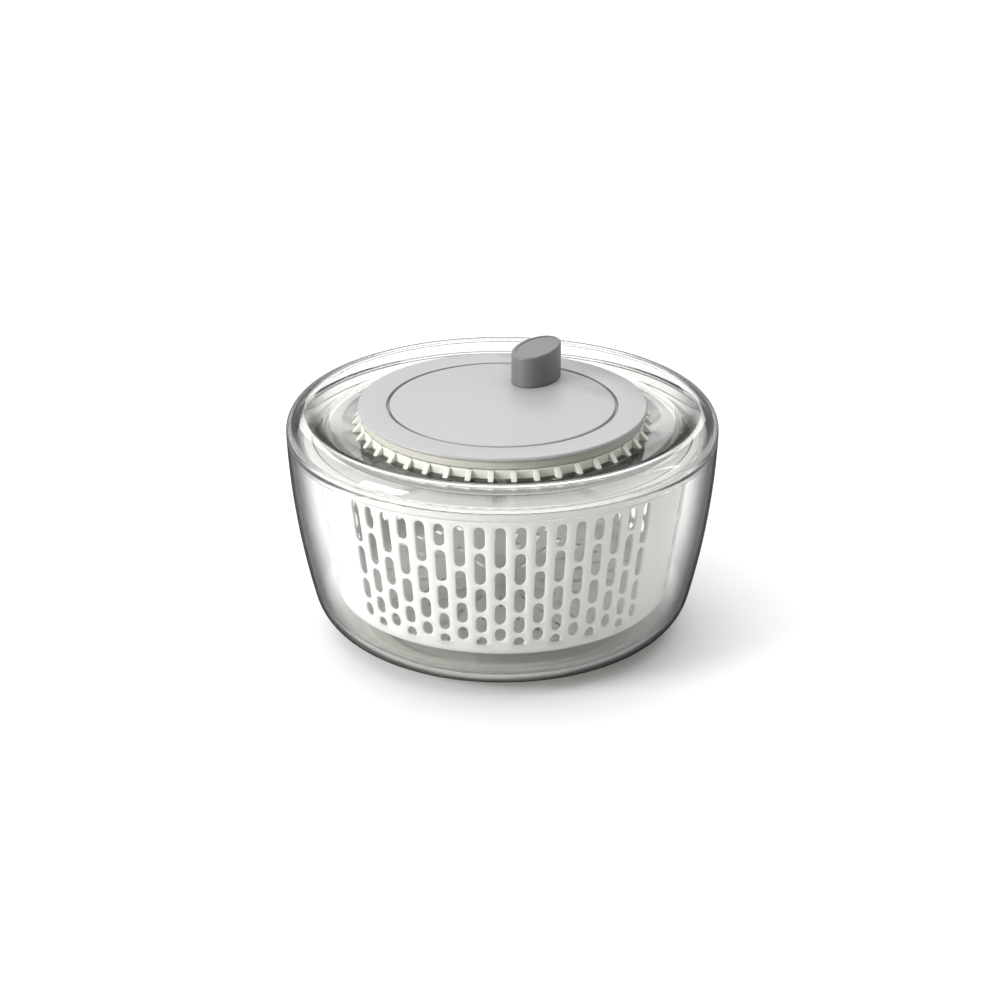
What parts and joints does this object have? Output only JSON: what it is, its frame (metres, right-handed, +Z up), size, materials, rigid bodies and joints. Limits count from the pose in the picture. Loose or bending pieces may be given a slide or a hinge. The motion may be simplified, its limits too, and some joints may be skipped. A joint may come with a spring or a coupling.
{
  "type": "salad spinner",
  "caption": "Clear round bowl with a slotted spinning basket, under a clear lid whose crank disc has a knob and drives the basket through a gear train.",
  "frame": {"origin": "centre of the foot ring's underside, on the surface it stands on", "axes": "+Z up along the spin axis; +X to the right and +Y to the back, seen from the front"},
  "size_m": [0.26, 0.26, 0.1629],
  "materials": {
    "clear_bowl": "clear, moulded",
    "clear_lid": "clear, moulded",
    "white_plate": "white, moulded",
    "white_basket": "white, moulded",
    "light_grey": "fine satin, moulded",
    "knob_grey": "fine satin, moulded",
    "gear_grey": "satin, moulded",
    "white_slide": "satin, moulded",
    "rib_white": "milky, moulded",
    "steel": "turned",
    "foot_rubber": "soft, translucent"
  },
  "bodies": {
    "bowl": {"bowl": "clear_bowl", "foot_ring": "foot_rubber", "pivot_pin": "steel"},
    "pivot_bush": {"pivot_bush": "white_slide"},
    "basket": {"basket": "white_basket"},
    "lid": {"lid": "clear_lid", "rib_ring": "rib_white", "slide_ring": "gear_grey", "spindle_bush": "white_slide", "idler_pins": "steel"},
    "crank": {"crank_disc": "light_grey", "ring_gear": "gear_grey", "ring_gear_screws": "steel", "disc_cap": "light_grey", "knob_screw": "steel"},
    "knob": {"knob_body": "knob_grey", "knob_cap": "knob_grey", "knob_washer": "white_slide"},
    "idler_1": {"idler_gear_1": "gear_grey"},
    "idler_2": {"idler_gear_2": "gear_grey"},
    "idler_3": {"idler_gear_3": "gear_grey"},
    "drive": {"drive_gear": "gear_grey", "spindle_clip": "steel", "drive_plate": "white_plate", "drive_washer": "steel", "drive_screw": "steel"}
  },
  "joints": [
    {"name": "basket_lift", "type": "slide", "parent": "bowl", "child": "pivot_bush", "axis": [0, 0, 1], "range_m": [0, 0.16]},
    {"name": "lid_lift", "type": "slide", "parent": "pivot_bush", "child": "lid", "axis": [0, 0, 1], "range_m": [0, 0.16]},
    {"name": "basket_spin", "type": "hinge", "parent": "pivot_bush", "child": "basket", "pos_m": [0, 0, 0.03], "axis": [0, 0, 1], "continuous": true},
    {"name": "crank_spin", "type": "hinge", "parent": "lid", "child": "crank", "pos_m": [0, 0, 0.138], "axis": [0, 0, 1], "continuous": true},
    {"name": "knob_spin", "type": "hinge", "parent": "crank", "child": "knob", "pos_m": [0.02074, 0.04329, 0.15], "axis": [0, 0, 1], "continuous": true},
    {"name": "drive_spin", "type": "hinge", "parent": "lid", "child": "drive", "pos_m": [0, 0, 0.13], "axis": [0, 0, 1], "continuous": true},
    {"name": "idler_1_spin", "type": "hinge", "parent": "lid", "child": "idler_1", "pos_m": [0.0405, 0, 0.1325], "axis": [0, 0, 1], "continuous": true},
    {"name": "idler_2_spin", "type": "hinge", "parent": "lid", "child": "idler_2", "pos_m": [-0.02025, 0.03507, 0.1325], "axis": [0, 0, 1], "continuous": true},
    {"name": "idler_3_spin", "type": "hinge", "parent": "lid", "child": "idler_3", "pos_m": [-0.02025, -0.03507, 0.1325], "axis": [0, 0, 1], "continuous": true}
  ],
  "couplings": [
    {"joint": "drive_spin", "follows": "basket_spin", "ratio": 1},
    {"joint": "crank_spin", "follows": "basket_spin", "ratio": -0.25},
    {"joint": "idler_1_spin", "follows": "basket_spin", "ratio": -0.66667},
    {"joint": "idler_2_spin", "follows": "basket_spin", "ratio": -0.66667},
    {"joint": "idler_3_spin", "follows": "basket_spin", "ratio": -0.66667}
  ]
}
